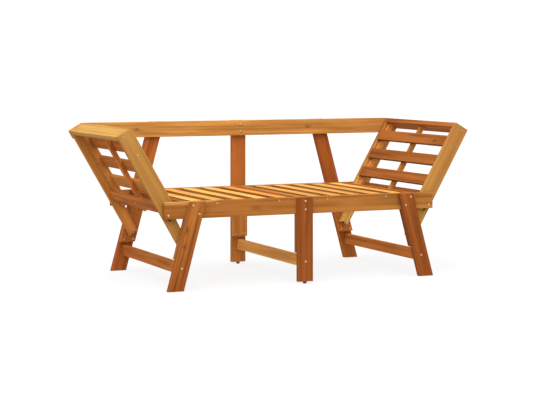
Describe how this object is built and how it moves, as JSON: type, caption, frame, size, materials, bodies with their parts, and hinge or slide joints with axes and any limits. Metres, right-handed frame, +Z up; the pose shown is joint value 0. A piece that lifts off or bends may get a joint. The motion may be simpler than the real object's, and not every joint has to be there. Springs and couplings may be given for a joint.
{
  "type": "convertible garden bench",
  "caption": "Slatted hardwood garden bench with a low back rail and two leaning side panels that lift off their pegs and fold down level with the seat to make a daybed.",
  "frame": {"origin": "on the ground, under the middle of the bench", "axes": "+X along the bench to its right end as seen from the front, +Y from the front to the back, +Z up"},
  "size_m": [1.648, 0.7452, 0.668],
  "materials": {
    "acacia_frame": "oiled",
    "acacia_panel": "oiled",
    "acacia_seat": "oiled",
    "dowel_wood": "plain",
    "zinc_plated_steel": "yellow zinc plated",
    "glide_plastic": "matte"
  },
  "bodies": {
    "frame": {"back_rail": "acacia_frame", "frame_bolts": "zinc_plated_steel", "frame_screws": "zinc_plated_steel", "front_doubler_center": "acacia_frame", "front_doubler_left": "acacia_frame", "front_doubler_right": "acacia_frame", "front_leg_center": "acacia_frame", "front_leg_left": "acacia_frame", "front_leg_right": "acacia_frame", "front_rail": "acacia_frame", "glides": "glide_plastic", "lock_pegs": "zinc_plated_steel", "rear_doubler_center": "acacia_frame", "rear_doubler_left": "acacia_frame", "rear_doubler_right": "acacia_frame", "rear_post_center": "acacia_frame", "rear_post_left": "acacia_frame", "rear_post_right": "acacia_frame", "rear_rail": "acacia_frame", "seat_center_bar": "acacia_seat", "seat_dowels": "dowel_wood", "seat_end_batten_left": "acacia_seat", "seat_end_batten_right": "acacia_seat", "seat_ledger_front": "acacia_seat", "seat_ledger_rear": "acacia_seat", "seat_slat_left_1": "acacia_seat", "seat_slat_left_2": "acacia_seat", "seat_slat_left_3": "acacia_seat", "seat_slat_left_4": "acacia_seat", "seat_slat_left_5": "acacia_seat", "seat_slat_right_1": "acacia_seat", "seat_slat_right_2": "acacia_seat", "seat_slat_right_3": "acacia_seat", "seat_slat_right_4": "acacia_seat", "seat_slat_right_5": "acacia_seat", "stretcher_center": "acacia_frame", "stretcher_left": "acacia_frame", "stretcher_right": "acacia_frame"},
    "left_pivots": {"left_pivot_bolts": "zinc_plated_steel"},
    "right_pivots": {"right_pivot_bolts": "zinc_plated_steel"},
    "left_panel": {"left_bottom_board": "acacia_panel", "left_panel_screws": "zinc_plated_steel", "left_rib": "acacia_panel", "left_side_battens": "acacia_panel", "left_slat_1": "acacia_panel", "left_slat_2": "acacia_panel", "left_slat_3": "acacia_panel", "left_stile_front": "acacia_panel", "left_stile_rear": "acacia_panel", "left_top_board": "acacia_panel"},
    "right_panel": {"right_bottom_board": "acacia_panel", "right_panel_screws": "zinc_plated_steel", "right_rib": "acacia_panel", "right_side_battens": "acacia_panel", "right_slat_1": "acacia_panel", "right_slat_2": "acacia_panel", "right_slat_3": "acacia_panel", "right_stile_front": "acacia_panel", "right_stile_rear": "acacia_panel", "right_top_board": "acacia_panel"}
  },
  "joints": [
    {"name": "left_panel_fold", "type": "hinge", "parent": "frame", "child": "left_pivots", "pos_m": [-0.6115, 0, 0.3085], "axis": [0, -1, 0], "range_deg": [0, 59.75]},
    {"name": "left_panel_lift", "type": "slide", "parent": "left_pivots", "child": "left_panel", "axis": [-0.5038, 0, 0.8638], "range_m": [0, 0.028]},
    {"name": "right_panel_fold", "type": "hinge", "parent": "frame", "child": "right_pivots", "pos_m": [0.6115, 0, 0.3085], "axis": [0, 1, 0], "range_deg": [0, 59.75]},
    {"name": "right_panel_lift", "type": "slide", "parent": "right_pivots", "child": "right_panel", "axis": [0.5038, 0, 0.8638], "range_m": [0, 0.028]}
  ]
}
